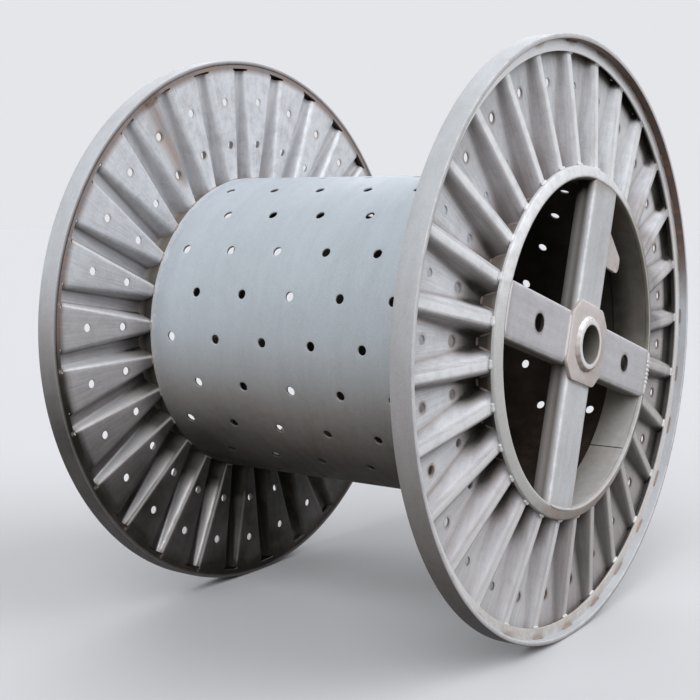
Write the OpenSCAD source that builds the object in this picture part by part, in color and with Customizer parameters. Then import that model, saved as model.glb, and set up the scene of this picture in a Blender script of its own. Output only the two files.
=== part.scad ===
// Steel cable drum with a perforated barrel and corrugated flanges.
// The drum lies on its two rims: its axis runs along X, the right end is +X, the front is -Y,
// and the origin is on the floor, midway between the rims.

/* [Overall] */
// Outer diameter of both flanges
flange_d = 1250; // [1220:5:1300]
// Width over the two rim bars
rim_span = 920; // [860:5:1000]
// Turn of the drum about its axis as it lies, counter-clockwise seen from the right end
roll = -16.7; // [-45:0.1:45]

/* [Barrel] */
// Outer diameter of the barrel
barrel_d = 700; // [690:1:710]
// Wall of the rolled barrel plate
barrel_wall = 6; // [5:0.5:8]
// Rows of holes round the barrel, alternate rows set half a pitch along
barrel_rows = 22; // [18:2:24]
// Holes in one row
barrel_row_holes = 6; // [4:1:6]
// Distance of the end holes from the barrel's ends
barrel_hole_end = 61.6; // [45:0.1:80]
// Diameter of a barrel hole
barrel_hole_d = 20; // [12:1:26]

/* [Flange sheet] */
// Pressed ribs in one flange
rib_count = 28; // [24:1:28]
// Thickness of the pressed sheet
sheet = 4; // [3:0.5:5]
// Outside width of a rib across the rounds of its crest
rib_w = 36; // [32:1:40]
// Outside radius of the two crest corners of a rib
rib_round = 12; // [9:1:15]
// Slope of the rib's side walls from the drum's axis, in degrees
rib_draft = 19; // [12:0.5:22]
// Turn of the ribs against the cross on the right flange, in degrees
rib_turn_right = 4.7; // [0:0.1:12.8]
// Turn of the ribs against the cross on the left flange, in degrees
rib_turn_left = 7; // [0:0.1:12.8]
// Diameter of the two holes in each land between ribs
land_hole_d = 18; // [10:1:22]
// Place of the inner land holes on the way from the barrel to the rim's outside, as a share
land_hole_in = 0.298; // [0.26:0.002:0.34]
// Place of the outer land holes on the same way, as a share
land_hole_out = 0.662; // [0.6:0.002:0.7]

/* [Rim] */
// Width of the rolled rim bar along the axis
rim_bar_w = 45; // [40:1:50]
// Thickness of the rim bar
rim_bar_t = 10; // [8:0.5:12]
// Radial width of the flat ring inside the rim bar
rim_ring_w = 23; // [18:1:28]
// Thickness of the flat ring
rim_ring_t = 6; // [4:0.5:8]
// Depth of the flat ring below the outer edge of the rim bar
rim_ring_recess = 18; // [14:1:20]

/* [Collar] */
// Wall of the collar tube inside the barrel end
collar_wall = 5; // [4:0.5:8]
// Length of the collar tube, with its lip
collar_len = 89; // [75:1:100]
// Height of the collar's mouth outside the rim bar
collar_proud = 17; // [12:1:20]
// Overlap of the flared lip beyond the barrel
lip_over = 16; // [10:1:18]
// Thickness of the lip at its outer edge
lip_t = 8; // [6:0.5:9]
// Fall of the flared lip from the mouth to its outer edge
lip_fall = 7.5; // [4:0.5:9]

/* [Cross] */
// Width of the folded channels of the cross
channel_w = 112; // [100:1:124]
// Depth of the channels
channel_depth = 40; // [30:1:50]
// Plate of the channels
channel_wall = 6; // [4:0.5:8]
// Outside bend radius of the channels
channel_bend = 10; // [9:0.5:14]
// Diameter of the two drive holes
drive_hole_d = 36; // [24:1:44]
// Pitch circle of the drive holes
drive_circle = 422; // [380:2:460]

/* [Hub] */
// Width across the flats of the hub plate
hub_plate_w = 165; // [150:1:180]
// Corner cut of the hub plate
hub_corner = 30; // [20:1:40]
// Thickness of the hub plate
hub_plate_t = 7; // [6:0.5:12]
// Outer diameter of the hub bush
bush_d = 102; // [96:1:106]
// Bore of the hub bush
bore_d = 80; // [60:1:85]
// Length of the hub bush
bush_len = 80; // [60:1:100]
// Height of the bush above the hub plate
bush_proud = 8; // [3:1:12]

/* [Side lug] */
// Reach of the lug from the side of the upper strut
lug_reach = 94; // [60:1:110]
// Height of the lug where it meets the strut
lug_h = 94; // [60:1:110]
// Height of the lug at its free end
lug_end_h = 35; // [25:1:50]
// Height of the lug's lower edge above the axis
lug_y = 185; // [160:1:195]
// Plate of the lug
lug_t = 8; // [6:0.5:10]
// Depth of the lug behind the collar face
lug_set = 17; // [12:1:24]

/* [Hidden] */
$fn = 96;

// Clearance of a rib's crest under the ring and lip it is welded to
rib_seat = 0.2;
// Clearance of the hub bush in the plates it passes through, on the diameter
bush_fit = 0.2;
// Turn of the first row of barrel holes against the cross
barrel_turn = 0.3;
// Depth of the rounding inside the collar's mouth
mouth_deep = 8;
flange_r = flange_d / 2;
rim_face = rim_span / 2;
land_z = rim_face - rim_bar_w;
sheet_r = flange_r - rim_bar_t;
barrel_r = barrel_d / 2;
collar_r = barrel_r - barrel_wall;
collar_ir = collar_r - collar_wall;
collar_face = rim_face + collar_proud;
collar_back = collar_face - collar_len;
lip_r = barrel_r + lip_over;
lip_edge = collar_face - lip_fall;
lip_low = lip_edge - lip_t;
ring_ir = sheet_r - rim_ring_w;
ring_top = rim_face - rim_ring_recess;
ring_low = ring_top - rim_ring_t;
hub_face = collar_face + hub_plate_t;
bush_face = hub_face + bush_proud;
rib_step = 360 / rib_count;
row_step = 360 / barrel_rows;
barrel_pitch = 2 * (land_z - barrel_hole_end) / (barrel_row_holes - 0.5);
land_circle_in = barrel_d + land_hole_in * (flange_d - barrel_d);
land_circle_out = barrel_d + land_hole_out * (flange_d - barrel_d);

// The crest of a rib runs straight from under the edge of the lip to under the rim ring
crest_tilt = atan((lip_low - ring_low) / (ring_ir - lip_r));
rib_start = collar_r - 14;
rib_end = ring_ir + 10;
rib_deep = 70;

steel = [0.72, 0.73, 0.75];
steel_dull = [0.62, 0.61, 0.6];
steel_rusty = [0.62, 0.54, 0.48];

// Points of an arc about c
function arc_pts(c, r, a0, a1, n = 6) =
    [for (i = [0 : n]) c + r * [cos(a0 + (a1 - a0) * i / n), sin(a0 + (a1 - a0) * i / n)]];

// Outline of a pressed rib: rounded crest at height 0, drafted walls down to -deep
function rib_outline(w, rnd, deep) =
    let (c = [w / 2 - rnd, -rnd],
         low = c[0] + rnd * cos(rib_draft) + (deep - rnd + rnd * sin(rib_draft)) * tan(rib_draft))
    concat([[low, -deep]],
           arc_pts(c, rnd, rib_draft, 90),
           arc_pts([-c[0], c[1]], rnd, 90, 180 - rib_draft),
           [[-low, -deep]]);

// Outline of a folded channel, open downwards, its face at height 0
function channel_outline() =
    let (h = channel_w / 2, b = channel_bend, t = channel_wall)
    concat([[h, -channel_depth]],
           arc_pts([h - b, -b], b, 0, 90),
           arc_pts([b - h, -b], b, 90, 180),
           [[-h, -channel_depth], [t - h, -channel_depth]],
           arc_pts([b - h, -b], b - t, 180, 90),
           arc_pts([h - b, -b], b - t, 90, 0),
           [[h - t, -channel_depth]]);

// Sets the drum's own frame, axis along z and front to back along x, on the floor
module laid_down() {
    translate([0, 0, flange_r])
        rotate([90, 0, 90])
            rotate([0, 0, roll])
                children();
}

// Mirrors a right-hand end piece to the left end
module left_end() {
    mirror([0, 0, 1])
        children();
}

// Turned ring between two radii, from z0 up
module turned_ring(ri, ro, z0, h) {
    rotate_extrude($fn = 180)
        translate([ri, z0])
            square([ro - ri, h]);
}

// Straight bar of the given outline along x, starting at radius r0 with its crest at z0
module radial_bar(r0, z0, tilt, len) {
    translate([r0, 0, z0])
        rotate([0, tilt, 0])
            rotate([90, 0, 90])
                linear_extrude(height = len)
                    children();
}

module barrel_body() {
    difference() {
        turned_ring(collar_r, barrel_r, -land_z, 2 * land_z);
        for (i = [0 : barrel_rows - 1])
            for (k = [0 : barrel_row_holes - 1])
                rotate([0, 0, barrel_turn + i * row_step])
                    translate([collar_r - 10, 0,
                               (k - (barrel_row_holes - 1) / 2) * barrel_pitch
                               + (i % 2 == 0 ? -1 : 1) * barrel_pitch / 4])
                        rotate([0, 90, 0])
                            cylinder(d = barrel_hole_d, h = barrel_wall + 20, $fn = 32);
    }
}

// Height of the rib crest at radius r
function crest_at(r) = lip_low - rib_seat - (r - lip_r) * tan(crest_tilt);

module flange_sheet(turn) {
    difference() {
        union() {
            turned_ring(collar_r, sheet_r, land_z, sheet);
            for (i = [0 : rib_count - 1])
                rotate([0, 0, turn + i * rib_step])
                    radial_bar(rib_start, crest_at(rib_start), crest_tilt,
                               (rib_end - rib_start) / cos(crest_tilt))
                        polygon(rib_outline(rib_w, rib_round, rib_deep));
        }
        for (i = [0 : rib_count - 1])
            rotate([0, 0, turn + i * rib_step])
                radial_bar(rib_start - 8, crest_at(rib_start - 8) - sheet, crest_tilt,
                           (rib_end - rib_start + 12) / cos(crest_tilt))
                    polygon(rib_outline(rib_w - 2 * sheet, rib_round - sheet, rib_deep + 20));
        translate([0, 0, land_z - 120])
            cylinder(r = flange_r + 20, h = 120);
        translate([0, 0, land_z - 20])
            cylinder(r = collar_r, h = 160, $fn = 180);
        for (i = [0 : rib_count - 1])
            for (d = [land_circle_in, land_circle_out])
                rotate([0, 0, turn + (i + 0.5) * rib_step])
                    translate([d / 2, 0, land_z - 10])
                        cylinder(d = land_hole_d, h = sheet + 20, $fn = 32);
    }
}

module rim_bar() {
    turned_ring(sheet_r, flange_r, land_z, rim_bar_w);
}

module rim_ring() {
    turned_ring(ring_ir, sheet_r, ring_low, rim_ring_t);
}

// Half section of the collar's mouth, from its tube out to the face
function mouth_pts() =
    [[collar_ir, collar_face - mouth_deep],
     [collar_ir + 0.3 * collar_wall, collar_face - 0.4 * mouth_deep],
     [collar_r, collar_face]];

module collar() {
    rotate_extrude($fn = 180)
        polygon(concat(mouth_pts(),
                       [[lip_r, lip_edge], [lip_r, lip_low],
                        [collar_r, crest_at(collar_r) + rib_seat],
                        [collar_r, collar_back], [collar_ir, collar_back]]));
}

// Room inside the collar that the cross is trimmed to
module collar_room() {
    rotate_extrude($fn = 180)
        polygon(concat([[0, collar_face], [0, collar_back], [collar_ir, collar_back]], mouth_pts()));
}

module cross_channel() {
    difference() {
        intersection() {
            radial_bar(-collar_r, collar_face, 0, 2 * collar_r)
                polygon(channel_outline());
            collar_room();
        }
        translate([0, 0, collar_face - channel_depth - 10])
            cylinder(d = bush_d + bush_fit, h = channel_depth + 20);
        for (s = [-1, 1])
            translate([s * drive_circle / 2, 0, collar_face - channel_depth - 10])
                cylinder(d = drive_hole_d, h = channel_depth + 20, $fn = 48);
    }
}

module strut() {
    intersection() {
        rotate([0, 0, 90])
            radial_bar(channel_w / 2, collar_face, 0, collar_r)
                polygon(channel_outline());
        collar_room();
    }
}

module hub_plate() {
    h = hub_plate_w / 2;
    c = h - hub_corner;
    translate([0, 0, collar_face])
        difference() {
            linear_extrude(height = hub_plate_t)
                polygon([[h, -c], [h, c], [c, h], [-c, h], [-h, c], [-h, -c], [-c, -h], [c, -h]]);
            translate([0, 0, -10])
                cylinder(d = bush_d + bush_fit, h = hub_plate_t + 20);
        }
}

module hub_bush() {
    translate([0, 0, bush_face - bush_len])
        rotate_extrude($fn = 128)
            translate([bore_d / 2, 0])
                square([(bush_d - bore_d) / 2, bush_len]);
}

module lug() {
    x0 = channel_w / 2;
    x1 = x0 + lug_reach;
    r = 16;
    translate([0, 0, collar_face - lug_set - lug_t])
        linear_extrude(height = lug_t)
            polygon(concat([[x0, lug_y + lug_h], [x0, lug_y]],
                           arc_pts([x1 - r, lug_y + r], r, -90, 0),
                           [[x1, lug_y + lug_end_h]]));
}

module barrel() {
    color(steel)
        laid_down()
            barrel_body();
}

module flange_sheet_right() {
    color(steel)
        laid_down()
            flange_sheet(rib_turn_right);
}

module flange_sheet_left() {
    color(steel)
        laid_down()
            left_end()
                flange_sheet(rib_turn_left);
}

module rim_bar_right() {
    color(steel)
        laid_down()
            rim_bar();
}

module rim_bar_left() {
    color(steel)
        laid_down()
            left_end()
                rim_bar();
}

module rim_ring_right() {
    color(steel_dull)
        laid_down()
            rim_ring();
}

module rim_ring_left() {
    color(steel_dull)
        laid_down()
            left_end()
                rim_ring();
}

module collar_right() {
    color(steel)
        laid_down()
            collar();
}

module collar_left() {
    color(steel)
        laid_down()
            left_end()
                collar();
}

module cross_channel_right() {
    color(steel_dull)
        laid_down()
            cross_channel();
}

module cross_channel_left() {
    color(steel_dull)
        laid_down()
            left_end()
                cross_channel();
}

module upper_strut_right() {
    color(steel_dull)
        laid_down()
            strut();
}

module upper_strut_left() {
    color(steel_dull)
        laid_down()
            left_end()
                strut();
}

module lower_strut_right() {
    color(steel_dull)
        laid_down()
            rotate([0, 0, 180])
                strut();
}

module lower_strut_left() {
    color(steel_dull)
        laid_down()
            left_end()
                rotate([0, 0, 180])
                    strut();
}

module hub_plate_right() {
    color(steel_rusty)
        laid_down()
            hub_plate();
}

module hub_plate_left() {
    color(steel_rusty)
        laid_down()
            left_end()
                hub_plate();
}

module hub_bush_right() {
    color(steel)
        laid_down()
            hub_bush();
}

module hub_bush_left() {
    color(steel)
        laid_down()
            left_end()
                hub_bush();
}

module side_lug() {
    color(steel_rusty)
        laid_down()
            lug();
}

barrel();
flange_sheet_right();
flange_sheet_left();
rim_bar_right();
rim_bar_left();
rim_ring_right();
rim_ring_left();
collar_right();
collar_left();
cross_channel_right();
cross_channel_left();
upper_strut_right();
upper_strut_left();
lower_strut_right();
lower_strut_left();
hub_plate_right();
hub_plate_left();
hub_bush_right();
hub_bush_left();
side_lug();
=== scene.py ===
# Steel cable drum with a perforated barrel and corrugated flanges, dressed for its picture.
# The sections follow the drum as it is welded up: barrel, collars, flange sheets, rims, cross, hub, welds.
# Pieces are drawn in the drum's own frame, in mm: its axis is z, and the right end is the positive one.
import math
import bmesh
import bpy
import numpy as np
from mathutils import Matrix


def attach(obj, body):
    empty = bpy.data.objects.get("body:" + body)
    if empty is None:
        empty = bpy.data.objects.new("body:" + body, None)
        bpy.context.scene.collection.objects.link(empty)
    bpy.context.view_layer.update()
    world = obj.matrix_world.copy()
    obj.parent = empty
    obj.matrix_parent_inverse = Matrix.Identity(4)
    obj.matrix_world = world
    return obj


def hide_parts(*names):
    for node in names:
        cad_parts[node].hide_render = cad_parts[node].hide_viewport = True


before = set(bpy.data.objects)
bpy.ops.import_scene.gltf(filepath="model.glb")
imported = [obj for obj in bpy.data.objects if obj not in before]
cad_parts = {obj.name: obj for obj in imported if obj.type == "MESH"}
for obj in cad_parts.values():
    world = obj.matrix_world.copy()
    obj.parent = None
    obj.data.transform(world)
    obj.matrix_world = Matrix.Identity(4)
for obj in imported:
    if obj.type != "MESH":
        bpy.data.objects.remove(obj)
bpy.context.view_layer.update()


# Barrel: one 6 mm plate rolled into a tube 700 mm across and drilled with 22 staggered rows of six holes.
# It is bare mill steel, bluish outside, with painted shade that makes it dark within and darker and browner
# underneath, and its ends are welded to the flange sheets.
ROLL = math.radians(-16.7)
AXIS_UP = 625.0
BARREL_R, BARREL_WALL, LAND_Z = 350.0, 6.0, 415.0
BARREL_ROWS, ROW_HOLES, BARREL_HOLE_R = 22, 6, 10.0
FIRST_ROW, ROW_STEP = math.radians(0.3), 2 * np.pi / BARREL_ROWS
END_HOLE = 61.6
HOLE_PITCH = 2 * (LAND_Z - END_HOLE) / (ROW_HOLES - 0.5)
CELL_STEPS = 8
# Rings round a hole, from the cell's edge over the lip and through the wall: share of the cell's edge,
# radius in hole radii, depth in mm
HOLE_RINGS = np.array([(1.0, 1.26, 0.0), (0.6, 1.26, 0.0), (0.25, 1.26, 0.0), (0.0, 1.26, 0.0),
                       (0.0, 1.12, 0.15), (0.0, 1.035, 0.6), (0.0, 1.0, 1.4), (0.0, 1.0, 4.6),
                       (0.0, 1.035, 5.5), (0.0, 1.2, 6.0), (0.4, 1.2, 6.0), (1.0, 1.26, 6.0)])


def lay_down(x, y, z):
    """Drum frame in mm to floor frame in m: x and y turn by the roll, then z runs along X, x along Y and
    y up along Z, raised by the flange's radius."""
    x, y, z = np.broadcast_arrays(x, y, z)
    c, s = math.cos(ROLL), math.sin(ROLL)
    return np.stack([z, x * c - y * s, x * s + y * c + AXIS_UP], -1) * 0.001


def stand_up(points):
    """Floor frame in m back to drum frame in mm: the turn and the lift of lay_down undone."""
    along, back, up = (points * 1000.0).T
    c, s = math.cos(ROLL), math.sin(ROLL)
    return back * c + (up - AXIS_UP) * s, (up - AXIS_UP) * c - back * s, along


def around(x, y):
    """Radius of a point, and where it stands round the axis on the floor: its height above the axis and
    its distance behind it, both as shares of the radius, from -1 to 1."""
    r, c, s = np.hypot(x, y), math.cos(ROLL), math.sin(ROLL)
    return r, (x * s + y * c) / r, (x * c - y * s) / r


def polar(r, a, z):
    """Radius r and angle a about the drum's axis, at height z along it, as x, y, z."""
    return np.stack(np.broadcast_arrays(r * np.cos(a), r * np.sin(a), z), -1)


def fade(value, start, end):
    """0 at start and 1 at end, eased between as 3t^2 - 2t^3."""
    t = np.clip((value - start) / (end - start), 0.0, 1.0)
    return t * t * (3.0 - 2.0 * t)


def drum_piece(name, grids, finish, stain, nodes=(), wall=0.0, flip=False, crease=32.0, lay=None):
    """One piece out of point grids, each (any number of grids, rows, columns, 3) in the drum's frame.
    Quads join neighbours in rows and columns, doubles are merged, a closed shell is turned outwards, and
    an open sheet gets its wall behind it. stain(x, y, z, behind) gives rust, soot with painted shade, and
    wear with painted highlights, 0 to 1, at every point, and lay(x, y, z) the directions that its rolling
    streaks follow."""
    points, quads, first = [], [], 0
    for grid in grids:
        rows, cols = grid.shape[-3:-1]
        one = np.arange(rows * cols).reshape(rows, cols)
        quad = np.stack([one[:-1, :-1], one[:-1, 1:], one[1:, 1:], one[1:, :-1]], -1).reshape(-1, 4)
        copies = grid.size // (3 * rows * cols)
        starts = first + np.arange(copies)[:, None, None] * rows * cols
        quads.append((quad + starts).reshape(-1, 4))
        points.append(grid.reshape(-1, 3))
        first += copies * rows * cols
    quads = np.concatenate(quads)
    mesh = bpy.data.meshes.new(name)
    mesh.from_pydata(lay_down(*np.concatenate(points).T), [], quads[:, ::-1] if flip else quads)
    work = bmesh.new()
    work.from_mesh(mesh)
    bmesh.ops.remove_doubles(work, verts=work.verts, dist=2e-5)
    bmesh.ops.dissolve_degenerate(work, dist=1e-6, edges=work.edges)
    if not wall:
        bmesh.ops.recalc_face_normals(work, faces=work.faces)
    work.to_mesh(mesh)
    work.free()
    faced = len(mesh.vertices)
    piece = bpy.data.objects.new(name, mesh)
    bpy.context.scene.collection.objects.link(piece)
    if wall:
        plate = piece.modifiers.new("plate", "SOLIDIFY")
        plate.thickness = wall * 0.001
        plate.offset = -1.0
        plate.use_even_offset = True
        solid = piece.evaluated_get(bpy.context.evaluated_depsgraph_get())
        piece.data = bpy.data.meshes.new_from_object(solid)
        piece.modifiers.clear()
        bpy.data.meshes.remove(mesh)
        mesh = piece.data
        mesh.name = name
    mesh.polygons.foreach_set("use_smooth", np.ones(len(mesh.polygons), bool))
    mesh.set_sharp_from_angle(angle=math.radians(crease))
    spots = np.empty(len(mesh.vertices) * 3, np.float32)
    mesh.vertices.foreach_get("co", spots)
    x, y, z = stand_up(spots.reshape(-1, 3).astype(float))
    marks = stain(x, y, z, np.arange(len(x)) >= faced)
    streaks = (np.stack(lay(x, y, z) if lay else (x, y, z), -1) * 0.001).astype(np.float32)
    mesh.attributes.new("lay", "FLOAT_VECTOR", "POINT").data.foreach_set("vector", streaks.ravel())
    # Marks: rust; soot together with painted shade; wear together with painted highlights and sheen.
    for layer, mark in zip(("rust", "soot", "worn"), marks):
        mark = np.broadcast_to(np.clip(mark, 0.0, 1.0), len(mesh.vertices)).astype(np.float32)
        mesh.attributes.new(layer, "FLOAT", "POINT").data.foreach_set("value", mark)
    mesh.materials.clear()
    mesh.materials.append(finish)
    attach(piece, "root")
    if nodes:
        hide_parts(*nodes)


def add_node(tree, kind, inputs=(), **settings):
    """A shader node; inputs pairs a socket's name or number with a value, or the socket that feeds it."""
    node = tree.nodes.new(kind)
    for key, value in settings.items():
        setattr(node, key, value)
    for key, value in dict(inputs).items():
        if isinstance(value, bpy.types.NodeSocket):
            tree.links.new(value, node.inputs[key])
        else:
            node.inputs[key].default_value = value
    return node


def sum_of(tree, operation, a, b=0.0, clamp=False):
    """The output of one maths node."""
    return add_node(tree, "ShaderNodeMath", {0: a, 1: b}, operation=operation, use_clamp=clamp).outputs[0]


def between(tree, share, a, b, kind="MIX"):
    """Colour a with share of colour b laid over it."""
    inputs = {0: share, 6: a, 7: b}
    return add_node(tree, "ShaderNodeMix", inputs, data_type="RGBA", blend_type=kind).outputs[2]


def ramp(tree, value, low, high, to_low=0.0, to_high=1.0):
    """value carried from low..high to to_low..to_high and held at the ends."""
    inputs = {0: value, 1: low, 2: high, 3: to_low, 4: to_high}
    return add_node(tree, "ShaderNodeMapRange", inputs).outputs[0]


def steel_weather():
    """Node group for bare plate left outdoors: broad cloudy tone, finer mottling, rolling streaks and grain
    between a bright and a dull steel, edges rubbed bright together with painted highlights and sheen, brown
    rust that breaks up at its edges, and an olive dark that is partly grime and partly painted shade."""
    tree = bpy.data.node_groups.new("steel_weather", "ShaderNodeTree")
    sockets = {"INPUT": {"Vector": "Place Lay Rolled", "Color": "Bright Dull Grime", "Float": "Rust Soot Worn"},
               "OUTPUT": {"Color": "Colour", "Float": "Roughness Metal Relief"}}
    for way, kinds in sockets.items():
        for kind, names in kinds.items():
            for name in names.split():
                tree.interface.new_socket(name=name, in_out=way, socket_type="NodeSocket" + kind)
    given = add_node(tree, "NodeGroupInput").outputs
    # The rubbed colour serves worn edges and painted highlights; the dark olive serves dirt and painted shade.
    rubbed_and_sheen = (0.78, 0.79, 0.81, 1.0)
    rust_dark, rust_light = (0.10, 0.058, 0.040, 1.0), (0.33, 0.215, 0.165, 1.0)
    dirt_and_shade = (0.014, 0.0132, 0.0095, 1.0)

    def cloud(place, scale, detail, rough=0.55):
        inputs = {"Vector": place, "Scale": scale, "Detail": detail, "Roughness": rough}
        return add_node(tree, "ShaderNodeTexNoise", inputs).outputs[0]

    def plus(a, b):
        return sum_of(tree, "ADD", a, b)

    def minus(a, b):
        return sum_of(tree, "SUBTRACT", a, b)

    def times(a, b, clamp=False):
        return sum_of(tree, "MULTIPLY", a, b, clamp)

    broad = cloud(given["Place"], 5.5, 4.0)
    mottle = cloud(given["Place"], 42.0, 4.0, 0.62)
    grain = cloud(given["Place"], 420.0, 2.0)
    along = add_node(tree, "ShaderNodeVectorMath", {0: given["Lay"], 1: given["Rolled"]}, operation="MULTIPLY")
    streak = cloud(along.outputs[0], 1.0, 5.0, 0.65)
    tone = plus(plus(times(broad, 0.38), times(mottle, 0.24)), times(streak, 0.38))
    tone = ramp(tree, tone, 0.36, 0.62)
    steel = between(tree, tone, given["Dull"], given["Bright"])
    speck = ramp(tree, grain, 0.3, 0.7, 0.91, 1.07)
    specks = add_node(tree, "ShaderNodeCombineColor", {0: speck, 1: speck, 2: speck}).outputs[0]
    steel = between(tree, 1.0, steel, specks, "MULTIPLY")
    # Wear mask: rubbed edges together with painted highlights and sheen.
    worn = ramp(tree, plus(given["Worn"], minus(mottle, 0.5)), 0.15, 0.85)
    worn = times(worn, ramp(tree, given["Worn"], 0.0, 0.12))
    steel = between(tree, worn, steel, rubbed_and_sheen)
    patchy = plus(times(mottle, 0.9), times(grain, 0.35))
    rust = ramp(tree, plus(given["Rust"], minus(patchy, 0.62)), 0.18, 0.85)
    rust = times(rust, ramp(tree, given["Rust"], 0.0, 0.12))
    brown = between(tree, ramp(tree, mottle, 0.35, 0.65), rust_dark, rust_light)
    colour = between(tree, times(rust, 0.88), steel, brown)
    # Soot mask: real soot together with painted shade, tinted with the grime-and-shade colour, then darkened to
    # olive.
    soot = times(given["Soot"], ramp(tree, broad, 0.25, 0.7, 0.75, 1.1), True)
    colour = between(tree, ramp(tree, soot, 0.0, 0.35), colour, given["Grime"], "MULTIPLY")
    colour = between(tree, soot, colour, dirt_and_shade)
    clean = times(minus(1.0, rust), minus(1.0, soot))
    rough = plus(ramp(tree, tone, 0.0, 1.0, 0.66, 0.52), times(rust, 0.28))
    rough = minus(rough, times(worn, 0.2))
    relief = plus(plus(times(mottle, 0.5), times(grain, 0.22)), times(rust, 0.35))
    metal = times(clean, ramp(tree, worn, 0.0, 1.0, 0.03, 0.5))
    add_node(tree, "NodeGroupOutput", {"Colour": colour, "Roughness": rough, "Metal": metal, "Relief": relief})
    return tree


STEEL_WEATHER = steel_weather()


def steel_finish(name, bright, dull, rolled, relief=0.3, grime=(1.0, 0.94, 0.88)):
    """Bare steel between two tones, its rolling streaks stretched by rolled, its grime and painted shade
    tinted, and its rust, its soot with painted shade and its wear with painted highlights taken from the mesh."""
    finish = bpy.data.materials.new(name)
    finish.use_nodes = True
    tree = finish.node_tree
    shader = tree.nodes["Principled BSDF"]
    shader.inputs["Specular IOR Level"].default_value = 0.2
    inputs = {"Place": add_node(tree, "ShaderNodeTexCoord").outputs["Object"], "Rolled": rolled,
              "Lay": add_node(tree, "ShaderNodeAttribute", attribute_name="lay").outputs["Vector"],
              "Bright": (*bright, 1.0), "Dull": (*dull, 1.0), "Grime": (*grime, 1.0)}
    # Marks read from the mesh: rust; soot with painted shade; wear with painted highlights and sheen.
    for layer in ("rust", "soot", "worn"):
        inputs[layer.title()] = add_node(tree, "ShaderNodeAttribute", attribute_name=layer).outputs["Fac"]
    weather = add_node(tree, "ShaderNodeGroup", inputs, node_tree=STEEL_WEATHER).outputs
    bump = add_node(tree, "ShaderNodeBump", {"Height": weather["Relief"], "Strength": relief,
                                             "Distance": 0.0012}).outputs[0]
    for output, socket in ((weather["Colour"], "Base Color"), (weather["Roughness"], "Roughness"),
                           (weather["Metal"], "Metallic"), (bump, "Normal")):
        tree.links.new(output, shader.inputs[socket])
    return finish


def hole_square():
    """Places round a square from -1 to 1, CELL_STEPS to each side, and the circle's points beside them."""
    t = np.linspace(-1.0, 1.0, CELL_STEPS, endpoint=False)
    one = np.ones(CELL_STEPS)
    a = np.concatenate([one, -t, -one, t, [1.0]])
    b = np.concatenate([t, one, -t, -one, [-1.0]])
    turn = np.radians(np.linspace(-45.0, 315.0, 4 * CELL_STEPS + 1))
    return a, b, np.cos(turn), np.sin(turn)


def barrel_grids():
    """Each hole has a cell of rings: they shrink from the cell's edge to the hole, round its lip, go down
    the wall and open out again inside. Cells are worked flat, along the axis and round the barrel, then
    rolled: angle = row + arc / R, radius = R - depth. Plain strips fill the ends of the staggered rows."""
    a, b, ca, cb = hole_square()
    share, ring, deep = HOLE_RINGS.T[:, :, None]
    ring = ring * BARREL_HOLE_R
    row = np.arange(BARREL_ROWS)[:, None, None, None]
    place = np.arange(ROW_HOLES)[None, :, None, None]
    middle = (place - (ROW_HOLES - 1) / 2 + np.where(row % 2 == 0, -0.25, 0.25)) * HOLE_PITCH
    edge_z = np.clip(middle + a * HOLE_PITCH / 2, -LAND_Z, LAND_Z)
    edge_z = np.where(np.abs(edge_z) > LAND_Z - 4.0, np.sign(edge_z) * LAND_Z, edge_z)
    z = share * edge_z + (1 - share) * (middle + ring * ca)
    arc = share * b * ROW_STEP / 2 * BARREL_R + (1 - share) * ring * cb
    turn = FIRST_ROW + row * ROW_STEP
    cells = polar(BARREL_R - deep, turn + arc / BARREL_R, z)
    half = CELL_STEPS // 2
    steps = ROW_HOLES * CELL_STEPS + half
    lattice = (np.arange(steps + 1) - steps / 2) * HOLE_PITCH / CELL_STEPS
    lattice[[0, -1]] = -LAND_Z, LAND_Z
    fan = turn[:, 0] + np.linspace(-0.5, 0.5, CELL_STEPS + 1) * ROW_STEP
    strips = [polar(r, fan[start::2], lattice[part][None, :, None])
              for r in (BARREL_R, BARREL_R - BARREL_WALL)
              for start, part in ((0, slice(-half - 1, None)), (1, slice(0, half + 1)))]
    rim_turn = FIRST_ROW + (np.arange(BARREL_ROWS * CELL_STEPS + 1) / CELL_STEPS - 0.5) * ROW_STEP
    ends = [polar(np.array([[BARREL_R], [BARREL_R - BARREL_WALL]]), rim_turn[None, :], end)
            for end in (-LAND_Z, LAND_Z)]
    return [cells] + strips + ends


def barrel_stain(x, y, z, behind):
    """Rusty inside; painted shade makes the inside black and the underside dark and brown, most of all at the
    left; its ends rubbed bright.
    """
    r, high, _ = around(x, y)
    up = r * high
    inside = fade(r, BARREL_R - 1.5, BARREL_R - 4.5)
    ends = fade(np.abs(z), LAND_Z - 19.0, LAND_Z - 2.0)
    # Painted shade: the inside near black, and the underside darker and browner through rust and soot, most of
    # all low at the left end.
    low = fade(up, 45.0, -330.0)
    low_left_shade = fade(z, 0.0, -400.0) * fade(up, -60.0, -300.0)
    rust = 0.05 * ends + 0.55 * inside + 0.4 * low
    soot = np.maximum(0.97 * inside, 0.78 * low + 0.25 * low_left_shade)
    return rust, soot, 0.75 * ends * fade(up, -250.0, -60.0) * (1 - inside)


# Its warm grime-and-shade tint browns the painted shade underneath.
barrel_steel = steel_finish("barrel_plate", (0.475, 0.527, 0.582), (0.420, 0.462, 0.507), (5.0, 5.0, 46.0),
                            grime=(1.0, 0.875, 0.80))
drum_piece("drum_barrel", barrel_grids(), barrel_steel, barrel_stain, ["barrel"])


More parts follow.
